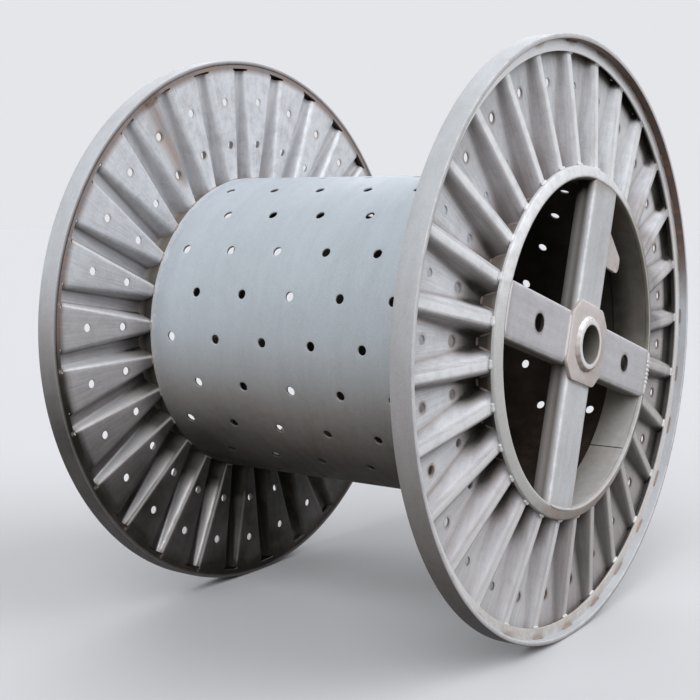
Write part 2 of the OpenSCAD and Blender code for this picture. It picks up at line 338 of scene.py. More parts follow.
# Collars: a short tube inside each barrel end, rolled from 5 mm strip, with an open butt slit of 3 mm.
# Its mouth is flared into a whole ring, the lip, that covers the rib ends. It is welded to the barrel,
# the sheet and the ribs. Inside it carries painted shade at the top, and the lip a painted highlight there.
ENDS = ((1, "right"), (-1, "left"))
COLLAR_R, COLLAR_WALL = BARREL_R - BARREL_WALL, 5.0
COLLAR_IN = COLLAR_R - COLLAR_WALL
MOUTH_Z, COLLAR_BACK = 477.0, 388.0
LIP_R, LIP_EDGE, LIP_LOW = 366.0, 469.5, 461.5
LIP_BACK, BAND_TOP = 466.8, 467.0
CREST_FALL = 0.1128
SLIT_AT, SLIT_HALF = math.radians(-49.0) - ROLL, 1.5 / COLLAR_R
TURN_STEPS = 252


def eased(corners, ease, steps=3):
    """A closed outline with its corners eased: corner P becomes the curve (1-t)^2 Q + 2t(1-t) P + t^2 S,
    where Q and S lie the ease away from P towards its neighbours."""
    corners = np.asarray(corners, float)
    ease = np.broadcast_to(np.asarray(ease, float), len(corners))[:, None]
    reach = [np.roll(corners, k, 0) - corners for k in (1, -1)]
    q, s = [corners + d * np.minimum(ease / np.linalg.norm(d, axis=1, keepdims=True), 0.48) for d in reach]
    t = np.linspace(0.0, 1.0, steps + 1)[None, :, None]
    curve = (1 - t) ** 2 * q[:, None] + 2 * t * (1 - t) * corners[:, None] + t ** 2 * s[:, None]
    return curve.reshape(-1, 2)


def turned(outline, end, steps, start=0.0, stop=2 * np.pi):
    """A closed outline of (radius, height) points turned about the axis: (r cos a, r sin a, z) for a from
    start to stop; end is 1 at the right end of the drum and -1, mirrored, at the left."""
    outline = np.vstack([outline, outline[:1]])
    a = np.linspace(start, stop, steps + 1)[:, None]
    return polar(outline[:, 0], a, end * outline[:, 1])


def collar_grids(end):
    """The lip as a whole ring; the tube as a band turned from one side of the slit to the other, with its
    two butt edges, which are the inner line of the wall and the same line grown to the outside."""
    lip = eased([(COLLAR_IN, LIP_BACK + 1.8), (COLLAR_IN, MOUTH_Z - 7.0), (COLLAR_IN + 1.4, MOUTH_Z - 3.0),
                 (COLLAR_R, MOUTH_Z), (LIP_R, LIP_EDGE), (LIP_R, LIP_LOW),
                 (COLLAR_R, LIP_LOW + (LIP_R - COLLAR_R) * CREST_FALL), (COLLAR_R, LIP_BACK),
                 (COLLAR_IN + 1.4, LIP_BACK)], [0.4, 0, 2, 4, 3, 2, 0, 0, 0.3])
    wall_z = np.array([COLLAR_BACK, COLLAR_BACK + 1.0, 400.0, 420.0, 440.0, 455.0, BAND_TOP - 0.8, BAND_TOP])
    wall_r = np.full(len(wall_z), COLLAR_IN)
    wall_r[[0, -1]] += 0.7
    outside = [(COLLAR_R, BAND_TOP), (COLLAR_R, 440.0), (COLLAR_R, COLLAR_BACK)]
    band = turned(np.concatenate([np.stack([wall_r, wall_z], 1), outside]), end, TURN_STEPS,
                  SLIT_AT + SLIT_HALF, SLIT_AT + 2 * np.pi - SLIT_HALF)
    grow = COLLAR_R / COLLAR_IN
    butt = np.array([[[1.0, 1.0, 1.0]], [[grow, grow, 1.0]]])
    return [turned(lip, end, TURN_STEPS), band] + [band[k, :len(wall_z)] * butt for k in (0, -1)]


def collar_stain(x, y, z, behind):
    """Painted shade inside at the top, towards the back and deeper in, and outside between the ribs; the lip
    rusty at the bottom, with painted shade at the back and a painted highlight at the top."""
    r, high, back = around(x, y)
    deep = np.abs(z)
    inner = fade(r, COLLAR_R - 0.4, COLLAR_R - 3.0)
    outside = fade(r, COLLAR_R - 1.5, COLLAR_R) * fade(deep, MOUTH_Z - 13.0, MOUTH_Z - 22.0)
    lip = fade(r, COLLAR_R - 1.0, COLLAR_R + 2.0) * fade(deep, MOUTH_Z - 16.0, MOUTH_Z - 13.0)
    rust = 0.08 + 0.24 * inner + 0.45 * outside + 0.45 * lip * fade(high, -0.75, -0.97)
    # Painted shade: inside at the top, towards the back and deeper in, outside between the ribs, and on the lip
    # at the back.
    soot = (inner * (0.12 + 0.58 * fade(high, -0.5, 0.1) + 0.1 * fade(back, 0.3, 0.8) * fade(high, -0.3, 0.0)
                     + 0.3 * fade(deep, MOUTH_Z - 37.0, COLLAR_BACK + 4.0))
            + outside * (0.56 + 0.34 * fade(high, 0.5, 0.1))
            + lip * (0.7 * fade(back, 0.45, 0.85) + 0.1 * fade(high, 0.5, 0.0)))
    # The lip's wear at the top is a painted highlight.
    return rust, soot, 0.42 * lip * fade(high, 0.0, 0.7)


collar_steel = steel_finish("collar_strip", (0.60, 0.61, 0.63), (0.50, 0.50, 0.515), (7.0, 7.0, 40.0),
                            grime=(1.0, 0.955, 0.86))
for end, side in ENDS:
    drum_piece("collar_tube_" + side, collar_grids(end), collar_steel, collar_stain,
               ["collar_" + side])


# Flange sheets: a disc of 4 mm sheet at each end, pressed with 28 radial ribs that stand out from the drum
# and taper towards the rim. Each flat land between two ribs has an inner and an outer 18 mm hole.
# The sheet is welded to the barrel and the collar, and its ribs are held down by the lip and the rim ring.
SHEET, SHEET_R, RIBS = 4.0, AXIS_UP - 10.0, 28
RIB_FLAT, RIB_ROUND, RIB_DRAFT, RIB_SEAT = 6.0, 12.0, math.radians(19.0), 0.2
RIB_STEP = 2 * np.pi / RIBS
RIB_TURN = {1: math.radians(4.7), -1: math.radians(7.0)}
ROUND_DROP = RIB_ROUND * (1 - math.sin(RIB_DRAFT))
LAND_TOP = LAND_Z + SHEET
# The sheet's face is set back by this much, which leaves room for the unevenness of the pressing
PRESS = 0.35
FACE_Z = LAND_TOP - PRESS
LAND_HOLE_R = 9.0
# Places along a rib: from, to and steps; the second and the fourth stretch each hold a land hole
STRETCHES = ((344.0, 404.0, 4), (404.0, 460.0, 6), (460.0, 502.0, 3), (502.0, 562.0, 6), (562.0, 602.0, 4))
# Each land hole's distance from the axis, and the first and last place of its stretch
LAND_HOLES = ((431.95, 4, 10), (532.05, 13, 19))
BAND_R = 607.0


def crest(x):
    """Height of a rib's crest at distance x from the axis: a straight fall from the lip to the rim ring."""
    return LIP_LOW - RIB_SEAT - (x - LIP_R) * CREST_FALL


def rib_shape(x):
    """Cross-section of a rib at distances x: half the flat crest, the crest's round from 90 degrees down to
    the draft, the drafted wall, and the round that turns it into the land; then mirrored. Returns y, z."""
    top = crest(x)[:, None]
    a = np.linspace(np.pi / 2, RIB_DRAFT, 8)[None, :]
    y_round = RIB_FLAT + RIB_ROUND * np.cos(a) + 0 * top
    z_round = top - RIB_ROUND + RIB_ROUND * np.sin(a)
    foot = np.clip((z_round[:, -1:] - LAND_TOP) * 0.98 / (1 - math.sin(RIB_DRAFT)), 1.0, 8.0)
    z_foot = LAND_TOP + foot * (1 - math.sin(RIB_DRAFT))
    y_foot = y_round[:, -1:] + (z_round[:, -1:] - z_foot) * math.tan(RIB_DRAFT)
    t = np.array([[0.33, 0.67]])
    y_wall, z_wall = y_round[:, -1:] * (1 - t) + y_foot * t, z_round[:, -1:] * (1 - t) + z_foot * t
    b = np.linspace(RIB_DRAFT, np.pi / 2, 6)[None, :]
    y_land = y_foot + foot * math.cos(RIB_DRAFT) - foot * np.cos(b)
    z_land = LAND_TOP + foot - foot * np.sin(b)
    y = np.concatenate([y_round, y_wall, y_land], 1)
    z = np.concatenate([z_round, z_wall, z_land], 1)
    return np.concatenate([-y[:, ::-1], y], 1), np.concatenate([z[:, ::-1], z], 1)


def flange_grids(end):
    """Ribs as the section above carried out along the radius and set round by angle; lands as fans between
    the feet of neighbouring ribs; in each land two cells of rings that shrink from the fan's edge to a
    hole; and a plain band at the rim beyond the open ends of the ribs."""
    x = np.concatenate([np.linspace(a, b, n, endpoint=False) for a, b, n in STRETCHES] + [STRETCHES[-1][1:2]])
    y, z = rib_shape(x)
    span = np.repeat(x[:, None], y.shape[1], 1)
    span[0] = np.sqrt((COLLAR_R + 0.1) ** 2 - y[0] ** 2)
    settle = np.random.default_rng(7 + end)
    at = RIB_TURN[end] + np.arange(RIBS) * RIB_STEP + settle.normal(0.0, 0.0012, RIBS)
    r, spread = np.hypot(span, y), np.arctan2(y, span)
    press = settle.normal(0.0, PRESS, RIBS)[:, None, None]
    press = press * fade(z, LAND_TOP, LAND_TOP + 14.0) * fade(x, 590.0, 560.0)[:, None]
    ribs = polar(r, at[:, None, None] + spread, end * (z + press - PRESS))
    foot_r, foot_a = r[:, -1], spread[:, -1]
    gap = np.roll(at, -1) - at
    gap[-1] += 2 * np.pi
    across = np.linspace(0.0, 1.0, 7)
    fan = at[:, None, None] + foot_a[:, None] + across * (gap[:, None, None] - 2 * foot_a[:, None])
    lands = polar(foot_r[:, None], fan, end * FACE_Z)
    (_, low_in, high_in), (_, low_out, high_out) = LAND_HOLES
    grids = [ribs, lands[:, :low_in + 1], lands[:, high_in:low_out + 1], lands[:, high_out:]]
    share = np.array([1.0, 0.6, 0.28, 0.08, 0.0])[None, :, None, None]
    for hole_r, low, high in LAND_HOLES:
        edge = np.concatenate([lands[:, low, :-1], lands[:, low:high, -1], lands[:, high, :0:-1],
                               lands[:, high:low:-1, 0], lands[:, low, :1]], 1)
        centre = polar(hole_r, at + gap / 2, end * FACE_Z)[:, None]
        turn = np.arctan2((edge - centre)[..., 1], (edge - centre)[..., 0])
        circle = centre + polar(LAND_HOLE_R, turn, 0.0)
        grids.append(circle[:, None] + share * (edge - circle)[:, None])
    mouth = np.linspace(-1.0, 1.0, 9) * foot_a[-1]
    band_a = np.concatenate([at[:, None] + mouth[:-1], fan[:, -1]], 1).ravel()
    band_a = np.append(band_a, band_a[0] + 2 * np.pi)
    grids.append(polar(np.array([[foot_r[-1]], [BAND_R]]), fan[:, -1:], end * FACE_Z))
    grids.append(polar(np.array([[BAND_R], [SHEET_R - 0.2]]), band_a[None], end * FACE_Z))
    return grids


def rib_angle(x, y, z):
    """Angle of a point from the middle line of the nearest rib, negative on one side and positive on the
    other."""
    turn = np.where(z > 0, RIB_TURN[1], RIB_TURN[-1])
    return (np.arctan2(y, x) - turn + RIB_STEP / 2) % RIB_STEP - RIB_STEP / 2


def from_rib(x, y, z):
    """Distance of a point, in mm round the axis, from the middle line of the nearest rib."""
    return np.abs(rib_angle(x, y, z)) * np.hypot(x, y)


def flange_lay(x, y, z):
    """Streaks run along the ribs: the distance from the rib and the height count most, and the place round
    the drum shifts the pattern."""
    r = np.hypot(x, y)
    return from_rib(x, y, z) + 900.0 * x / r, np.abs(z) + 900.0 * y / r, r


def ridge(value, at, width):
    """1 where value is at, falling to both sides as exp(-((value - at) / width)^2)."""
    return np.exp(-((value - at) / width) ** 2)


def flange_stain(x, y, z, behind):
    """Outside: a painted highlight on the crests with a thin painted shade line beside them, painted shade in
    the corners at the collar and under the rim ring, dark lines along the feet of the ribs that are partly dirt
    and partly painted shade, painted shade on the walls away from the light, towards the back and towards the
    bottom, and rust round some holes. Cable side: painted shade towards the bottom and the barrel and along
    the grooves' folds, a painted sheen on the walls that face up, along the grooves' front edges and at the
    top, a brown corner at the rim, and one scraped rusty groove at the left end."""
    r, high, back = around(x, y)
    angle, up, rise = np.arctan2(y, x), r * high, np.abs(z) - LAND_TOP
    way, off = np.sign(rib_angle(x, y, z)), from_rib(x, y, z)
    draft = np.maximum(crest(r) - LAND_TOP - ROUND_DROP, 0.0)
    foot = RIB_FLAT + RIB_ROUND * math.cos(RIB_DRAFT) + draft * math.tan(RIB_DRAFT)
    from_land = np.abs(off - RIB_STEP / 2 * r)
    holes = sum(ridge(np.hypot(from_land, r - hole[0]), LAND_HOLE_R + 0.5, 4.0) for hole in LAND_HOLES)
    some = np.maximum(0.5 + 0.5 * np.sin(angle * 23.0 + np.where(r > 480.0, 2.0, 0.0)), fade(back, 0.4, 0.8))

    # Painted shade: the corners at the collar, and the pockets under the rim ring at the back.
    by_collar = fade(r - 26.0 * fade(back, 0.1, -0.4), 424.0, 352.0) * fade(rise, 36.0, 8.0)
    reach = r + 20.0 * fade(back, 0.55, 0.85) - 6.0 * fade(back, 0.6, 0.3)
    by_rim = (fade(reach, 578.0, 592.0) * fade(rise, 22.0, 6.0)
              * fade(back, -0.1, 0.3) * fade(high, -0.7, -0.4))
    wall = fade(off, 9.0, 14.0) * fade(off, foot + 2.0, foot - 2.0)
    open_up = 1 - 0.45 * fade(high, 0.5, 0.8)
    on_crest = fade(rise, 6.0, 13.0)
    outer_rust = (0.07 + 0.1 * fade(high, 0.0, -0.7) + 0.22 * by_collar
                  + 0.18 * fade(r, 566.0, 600.0) * fade(rise, 12.0, 2.0) + 0.7 * holes * some)
    # Painted shade with some dirt: corners, rib feet, walls away from the light, the back, the bottom, and a
    # thin line beside each crest.
    outer_shade_and_soot = (by_collar * (0.30 + 0.67 * fade(high, 0.75, 0.1)) + 0.97 * by_rim
                  + open_up * ridge(off, foot + 2.0, 4.0) * (0.42 - 0.22 * fade(high, -0.4, -0.8))
                  + 0.30 * open_up * wall * fade(way * back, 0.35, -0.25)
                  + 0.27 * fade(back - 0.8 * high, 0.5, 1.0) + 0.10 * fade(high, 0.0, -0.6)
                  + 0.42 * fade(back, 0.6, 0.85) * fade(high, -0.2, 0.05) * fade(r, 500.0, 430.0)
                  + 0.12 * on_crest * ridge(off, 11.5, 2.2))
    # Painted highlight along the crests.
    outer_wear_and_sheen = 0.8 * on_crest * fade(off, 8.5, 5.0)

    scrape = ridge((angle + ROLL - math.radians(123.0)) * r, 0.0, 26.0) * fade(r, 380.0, 420.0) * (z < 0)
    groove = fade(rise, -1.0, 8.0)
    # Painted shade lines along the grooves' folds.
    lines = ridge(off, 13.0, 2.0) + ridge(off, foot - 2.0, 2.5)
    # Painted sheen on the groove walls that face up.
    up_wall_sheen = fade(rise, -2.0, 4.0) * fade(off, 9.0, 14.0) * fade(-way * back, 0.05, 0.4) * fade(high, 0.3, -0.1)
    # Painted highlight along the grooves' front edges.
    lip = ridge(off, foot + 0.5, 2.5) * fade(-way * back, 0.0, 0.3) * fade(high, 0.6, 0.3) * (back < 0)
    corner = fade(r, 592.0, 610.0)
    inner_rust = (0.08 + 0.6 * corner + 0.09 * groove * fade(high, -0.1, 0.4) + 0.5 * scrape
                  + 0.4 * holes * some)
    # Painted shade towards the bottom, the lower rim and the barrel, and along the folds; lifted where the
    # painted sheen and highlight lie.
    inner_shade_and_soot = (0.18 * scrape + 0.2 * fade(up, 200.0, 0.0) + 0.74 * fade(up, -30.0, -380.0) + 0.06 * groove
                  + 0.3 * corner + 0.45 * fade(r, 580.0, 604.0) * fade(high, 0.1, -0.15)
                  + 0.5 * lines * groove * fade(high, 0.8, 0.5)
                  + 0.6 * fade(r, 440.0, 356.0) * fade(high, 0.4, -0.2))
    inner_shade_and_soot = inner_shade_and_soot * (1 - 0.97 * up_wall_sheen * fade(r, 370.0, 450.0)) * (1 - 0.8 * lip)
    # Painted highlights and sheen: groove edges, walls that face up, and the top.
    inner_wear_and_sheen = (0.7 * lip + np.maximum(0.25 * ridge(off, foot - 3.0, 3.0), 0.9 * up_wall_sheen)
                  + 0.25 * fade(high, 0.3, 0.8))
    return (np.where(behind, inner_rust, outer_rust), np.where(behind, inner_shade_and_soot, outer_shade_and_soot),
            np.where(behind, inner_wear_and_sheen, outer_wear_and_sheen))


sheet_steel = steel_finish("flange_sheet", (0.67, 0.695, 0.74), (0.435, 0.43, 0.455), (110.0, 110.0, 6.0),
                           grime=(1.0, 0.93, 0.90))
for end, side in ENDS:
    drum_piece("pressed_flange_" + side, flange_grids(end), sheet_steel, flange_stain,
               ["flange_sheet_" + side], wall=SHEET - PRESS, flip=end > 0, crease=38.0, lay=flange_lay)


# Rim bars and rim rings: a 45 x 10 mm flat bar rolled on edge round each sheet, and a flat ring inside it,
# 18 mm below its outer edge, that holds the rib tips down. Mill steel, with painted shade that is brown inside
# the bar above the ring, and darker on the tread towards the floor.
RIM_R, RIM_FACE = AXIS_UP, 460.0
RING_R, RING_TOP, RING_LOW = 592.0, 442.0, 436.0
RIM_STEPS = 336


def rim_bar_stain(x, y, z, behind):
    """Painted shade that is brown in the pocket above the ring and black below it, and darker on the tread
    towards the floor; some rust, and the edge rubbed.
    """
    r, high, back = around(x, y)
    deep = np.abs(z)
    inside = fade(r, SHEET_R + 2.5, SHEET_R + 0.5)
    # Painted shade: the pocket above the ring browned through its rust and darkened, and black below the ring.
    shaded_pocket = inside * fade(deep, RING_TOP - 2.0, RING_TOP + 1.0) * fade(high, 0.0, 0.35)
    under = inside * fade(deep, RING_TOP - 2.0, RING_LOW)
    tread = fade(r, RIM_R - 3.0, RIM_R - 0.5)
    cable_side = fade(deep, LAND_Z + 5.0, LAND_Z + 1.0) * (1 - tread)
    rust = (0.08 + shaded_pocket * (0.45 + 0.3 * fade(back, 0.0, 0.5)) + 0.14 * tread * fade(high, 0.3, -0.6)
            + 0.25 * cable_side)
    # Painted shade: the tread and the cable-side edge darker towards the floor.
    tread_right = 0.74 * fade(high, 0.5, -1.0) + 0.1 * fade(high, -0.5, -0.9)
    tread_left = 0.84 * fade(high, 0.3, -0.35)
    soot = (0.95 * under + 0.42 * shaded_pocket + tread * np.where(z > 0, tread_right, tread_left)
            + 0.3 * cable_side * fade(high, 0.4, -0.6))
    return rust, soot, 0.35 * fade(deep, RIM_FACE - 1.8, RIM_FACE)


def rim_ring_stain(x, y, z, behind):
    """Rusty at each stitch; painted shade black underneath and darker towards the bottom; its face rubbed
    bright with a painted highlight, except at the back.
    """
    r, high, back = around(x, y)
    deep = np.abs(z)
    stitch = ridge(from_rib(x, y, z), 0.0, 26.0) * fade(r, SHEET_R - 15.0, SHEET_R - 3.0)
    rust = 0.10 - 0.07 * fade(back, 0.2, 0.6) + 0.45 * stitch + 0.2 * fade(high, -0.6, -0.95)
    # Painted shade: black underneath, darker towards the bottom.
    soot = (0.95 * fade(deep, RING_TOP - 2.0, RING_LOW + 0.5) + 0.14 * fade(high, 0.1, -0.4)
            + 0.1 * fade(high, -0.5, -0.95))
    # The face's wear is partly a painted highlight.
    return rust, soot, (0.9 - 0.85 * fade(back, 0.3, 0.7)) * fade(deep, RING_TOP - 3.0, RING_TOP - 0.5)


rim_steel = steel_finish("rim_bar", (0.55, 0.585, 0.625), (0.45, 0.46, 0.485), (7.0, 7.0, 34.0),
                         grime=(1.0, 0.91, 0.89))
ring_steel = steel_finish("tip_ring", (0.74, 0.745, 0.765), (0.64, 0.63, 0.645), (7.0, 7.0, 34.0))
bar_outline = eased([(SHEET_R, LAND_Z), (RIM_R, LAND_Z), (RIM_R, 430.0), (RIM_R, 445.0), (RIM_R, RIM_FACE),
                     (SHEET_R, RIM_FACE), (SHEET_R, 452.0), (SHEET_R, 444.0)], [0.8, 1.6, 0, 0, 1.6, 1.6, 0, 0])
ring_outline = eased([(RING_R, RING_LOW), (604.0, RING_LOW), (SHEET_R, RING_LOW), (SHEET_R, RING_TOP),
                      (608.0, RING_TOP), (600.0, RING_TOP), (RING_R, RING_TOP)], [1.2, 0, 0, 0, 0, 0, 1.6])
for end, side in ENDS:
    drum_piece("rolled_rim_" + side, [turned(bar_outline, end, RIM_STEPS)], rim_steel,
               rim_bar_stain, ["rim_bar_" + side])
    drum_piece("tip_ring_" + side, [turned(ring_outline, end, RIM_STEPS)], ring_steel,
               rim_ring_stain, ["rim_ring_" + side])


# Cross channel: a 6 mm plate folded to a channel, 112 mm wide and 40 deep, across the mouth of each collar.
# Its web has a drive hole each side of the hub, and its ends are welded into the collar.
CHANNEL_HALF, CHANNEL_DEPTH, CHANNEL_WALL, CHANNEL_BEND = 56.0, 40.0, 6.0, 10.0
WEB_HALF = CHANNEL_HALF - CHANNEL_BEND
DRIVE_AT, DRIVE_R, DRIVE_CELL = 211.0, 18.0, 31.0
BUSH_R, BUSH_GAP = 51.0, 0.1
MOUTH_R = 342.6


def channel_reach(y):
    """How far a fold line at sideways place y runs before it meets the collar: sqrt(R^2 - y^2)."""
    return np.sqrt(MOUTH_R ** 2 - y ** 2)


def channel_fold():
    """One folded side of the channel: down the bend from 90 to 0 degrees, then down the wall."""
    a = np.radians(np.linspace(90.0, 0.0, 7))
    y = np.concatenate([WEB_HALF + CHANNEL_BEND * np.cos(a), np.full(3, CHANNEL_HALF)])
    down = np.concatenate([CHANNEL_BEND * np.sin(a), [-8.0, -18.0, CHANNEL_BEND - CHANNEL_DEPTH]])
    return y, MOUTH_Z - CHANNEL_BEND + down


def cross_grids(end):
    """Web as strips between fold lines, cut round the bush, with a cell of rings at each drive hole; the two
    folded sides as the fold's outline carried from one end of the channel to the other."""
    y = np.linspace(-WEB_HALF, WEB_HALF, 7)
    z = end * MOUTH_Z
    t = np.linspace(0.0, 1.0, 5)[:, None]
    near = np.sqrt((BUSH_R + BUSH_GAP) ** 2 - y ** 2)
    low, high = DRIVE_AT - DRIVE_CELL, DRIVE_AT + DRIVE_CELL
    cell_x = np.linspace(low, high, 7)
    share = np.array([1.0, 0.6, 0.3, 0.07, 0.0])[:, None, None]
    fold_y, fold_z = channel_fold()
    lines = np.concatenate([np.linspace(near[-1], low, 5), cell_x[1:]])
    tail = high * (1 - t[1:]) + channel_reach(fold_y) * t[1:]
    out = np.concatenate([np.repeat(lines[:, None], len(fold_y), 1), tail])
    full = np.concatenate([-out[::-1], out])
    grids = []
    for way in (1, -1):
        for x in (near * (1 - t) + low * t, high * (1 - t) + channel_reach(y) * t):
            grids.append(np.stack(np.broadcast_arrays(way * x, way * y, z), -1))
        cell = np.stack(np.broadcast_arrays(way * cell_x[:, None], way * y, z), -1)
        edge = np.concatenate([cell[0, :-1], cell[:-1, -1], cell[-1, :0:-1], cell[:0:-1, 0], cell[:1, 0]])
        centre = np.array([way * DRIVE_AT, 0.0, z])
        turn = np.arctan2((edge - centre)[:, 1], (edge - centre)[:, 0])
        circle = centre + polar(DRIVE_R, turn, 0.0)
        grids.append(circle + share * (edge - circle))
        grids.append(np.stack(np.broadcast_arrays(way * full, way * fold_y, end * fold_z), -1))
    return grids


def cross_stain(x, y, z, behind):
    """Rusty at the ends; painted shade round the drive holes, at the top under the lip, down the walls in
    stripes and black behind; and a painted highlight along the bends."""
    r, high, _ = around(x, y)
    deep = MOUTH_Z - np.abs(z)
    ends, wall = fade(r, 318.0, 340.0), fade(deep, 8.0, 14.0)
    top = fade(r * high, 296.0, 334.0)
    hole = ridge(np.hypot(np.abs(x) - DRIVE_AT, y), DRIVE_R, 2.0)
    # Painted shade: black round the drive holes, at the top under the lip, and down the walls in stripes.
    soot = (1.1 * hole + 0.06 * ends + 0.3 * top + wall * (0.4 + 0.3 * top) + 0.34 * ridge(deep, 17.0, 4.0)
            + 0.45 * fade(deep, 26.0, 34.0))
    # Black behind as painted shade; the wear along the bends is a painted highlight.
    return (0.07 + 0.26 * ends + 0.10 * fade(r, 120.0, 84.0) + 0.10 * wall,
            np.where(behind, 0.85 + 0.15 * hole, soot), np.where(behind, 0.0, 0.6 * ridge(deep, 3.0, 2.0)))


cross_steel = steel_finish("cross_plate", (0.53, 0.53, 0.56), (0.42, 0.41, 0.435), (6.0, 70.0, 70.0), 0.22)
for end, side in ENDS:
    drum_piece("cross_channel_fold_" + side, cross_grids(end), cross_steel,
               cross_stain, ["cross_channel_" + side], wall=CHANNEL_WALL, flip=end > 0)


# Struts: the same folded channel, from the side of the cross channel up and down to the collar.
# They butt against the cross channel under the hub plate and are welded all round.
def strut_grids(end, way):
    """The whole folded outline, wall, bend, web, bend and wall, carried from the cross channel's side to the
    collar, where every line stops on the collar's circle; turned a quarter to stand up or hang down."""
    fold_y, fold_z = channel_fold()
    web = np.linspace(-WEB_HALF, WEB_HALF, 7)[1:-1]
    y = np.concatenate([-fold_y[::-1], web, fold_y])
    z = np.concatenate([fold_z[::-1], np.full(len(web), MOUTH_Z), fold_z])
    t = np.linspace(0.0, 1.0, 17)[:, None]
    x = CHANNEL_HALF * (1 - t) + channel_reach(y) * t
    return [np.stack(np.broadcast_arrays(-way * y, way * x, end * z), -1)]


strut_steel = steel_finish("strut_plate", (0.575, 0.59, 0.62), (0.45, 0.45, 0.47), (70.0, 6.0, 70.0), 0.22)
for end, side in ENDS:
    for way, name in ((1, "upper"), (-1, "lower")):
        drum_piece(f"{name}_strut_fold_{side}", strut_grids(end, way), strut_steel,
                   cross_stain, [f"{name}_strut_{side}"], wall=CHANNEL_WALL, flip=end > 0)


# Hub plate and bush: a 7 mm square plate with cut corners over the crossing, and a turned tube through it
# with the 80 mm bore. The plate is browner than the rest; the bush is worn bright at its face, and painted
# shade makes it dark in the bore. Both are welded to the cross.
HUB_HALF, HUB_CUT, HUB_FACE = 82.5, 30.0, 484.0
BUSH_FACE, BUSH_BACK, BORE_R = 492.0, 412.0, 40.0
# Rings of the plate: share of its outline against the bush's circle, and height
HUB_RINGS = ((1.0, MOUTH_Z), (1.0, HUB_FACE - 1.8), (0.985, HUB_FACE - 0.5), (0.94, HUB_FACE),
             (0.6, HUB_FACE), (0.0, HUB_FACE), (0.0, MOUTH_Z), (1.0, MOUTH_Z))


def ringed(outline, inner, rings, end):
    """A flat plate with eased edges as rings between an outline and a line inside it: each ring is
    inner + share (outline - inner), at its own height."""
    share, height = np.array(rings).T[:, :, None, None]
    flat = inner + share * (outline - inner)
    return np.concatenate([flat, np.broadcast_to(end * height, (*flat.shape[:2], 1))], -1)


def hub_plate_grids(end):
    """The plate's eight-sided outline with eased corners, four places to each step, ringed in to the circle
    of the bush and back along the underside."""
    c, h = HUB_HALF - HUB_CUT, HUB_HALF
    outline = eased([(h, -c), (h, c), (c, h), (-c, h), (-h, c), (-h, -c), (-c, -h), (c, -h)], 7.0, 4)
    t = np.linspace(0.0, 1.0, 4, endpoint=False)[None, :, None]
    outline = (outline[:, None] * (1 - t) + np.roll(outline, -1, 0)[:, None] * t).reshape(-1, 2)
    outline = np.vstack([outline, outline[:1]])
    turn = np.arctan2(outline[:, 1], outline[:, 0])
    circle = np.stack([np.cos(turn), np.sin(turn)], 1) * (BUSH_R + BUSH_GAP)
    return [ringed(outline, circle, HUB_RINGS, end)]


def hub_stain(x, y, z, behind):
    """Rusty at the weld; painted shade browns it towards the lower back and darkens its sides; the edge of its
    face rubbed.
    """
    r, high, back = around(x, y)
    deep = np.abs(z)
    weld = ridge(r, 60.0, 6.0)
    edge = fade(deep, HUB_FACE - 3.5, HUB_FACE - 0.6) * fade(deep, HUB_FACE, HUB_FACE - 0.4)
    side = fade(deep, HUB_FACE - 1.2, HUB_FACE - 2.5)
    # The brown towards the lower back and the darker sides are painted shade carried by rust and soot.
    rust = 0.17 + 0.24 * weld + 0.2 * side + 0.2 * fade(r * (back - high), -30.0, 90.0)
    return rust, 0.16 * weld + 0.1 * side, 0.3 * edge


def bush_stain(x, y, z, behind):
    """Painted shade makes the bore dark; a little rust outside above the plate; its face rubbed bright."""
    r, deep = np.hypot(x, y), BUSH_FACE - np.abs(z)
    bore = fade(r, BORE_R + 2.0, BORE_R + 0.5)
    rust = 0.10 + 0.2 * fade(r, BUSH_R - 3.0, BUSH_R) * fade(deep, 1.5, 7.0)
    # The bore's soot is painted shade.
    return rust, bore * (0.72 + 0.2 * fade(deep, 8.0, 40.0)), 0.5 * fade(deep, 3.0, 0.5)


hub_steel = steel_finish("hub_plate", (0.62, 0.585, 0.585), (0.52, 0.475, 0.47), (30.0, 30.0, 30.0), 0.4)
bush_steel = steel_finish("bush_turned", (0.62, 0.62, 0.63), (0.52, 0.51, 0.51), (6.0, 6.0, 90.0), 0.2)
bush_outline = eased([(BORE_R, BUSH_BACK), (BUSH_R, BUSH_BACK), (BUSH_R, 430.0), (BUSH_R, 460.0),
                      (BUSH_R, HUB_FACE), (BUSH_R, BUSH_FACE), (BORE_R, BUSH_FACE), (BORE_R, HUB_FACE),
                      (BORE_R, 470.0), (BORE_R, 440.0)], [1, 1, 0, 0, 0, 2.6, 2.2, 0, 0, 0])
for end, side in ENDS:
    drum_piece("hub_cover_" + side, hub_plate_grids(end), hub_steel, hub_stain,
               ["hub_plate_" + side])
    drum_piece("hub_tube_" + side, [turned(bush_outline, end, 96)], bush_steel, bush_stain,
               ["hub_bush_" + side])


# Side lug: a flame-cut 8 mm plate on the side of the upper strut at the right end, with one rounded corner.
# It is welded edge-on to the strut's wall and carries light pinkish-brown rust.
LUG_LOW, LUG_HIGH, LUG_OUT, LUG_END = 185.0, 279.0, 150.0, 220.0
LUG_BACK, LUG_FACE = 452.0, 460.0
# Rings of the lug: share of its outline against its middle, and height
LUG_RINGS = ((0.0, LUG_BACK), (0.5, LUG_BACK), (0.97, LUG_BACK), (1.0, LUG_BACK + 1.2),
             (1.0, LUG_FACE - 1.2), (0.97, LUG_FACE), (0.5, LUG_FACE), (0.0, LUG_FACE))


def lug_grids():
    """Rings that grow from the lug's middle to its outline along the back, and shrink again on the face."""
    outline = eased([(CHANNEL_HALF, LUG_HIGH), (CHANNEL_HALF, LUG_LOW), (LUG_OUT, LUG_LOW), (LUG_OUT, LUG_END)],
                    [0.5, 0.5, 18.0, 6.0], 8)
    return [ringed(np.vstack([outline, outline[:1]]), np.array([90.0, 224.0]), LUG_RINGS, 1)]


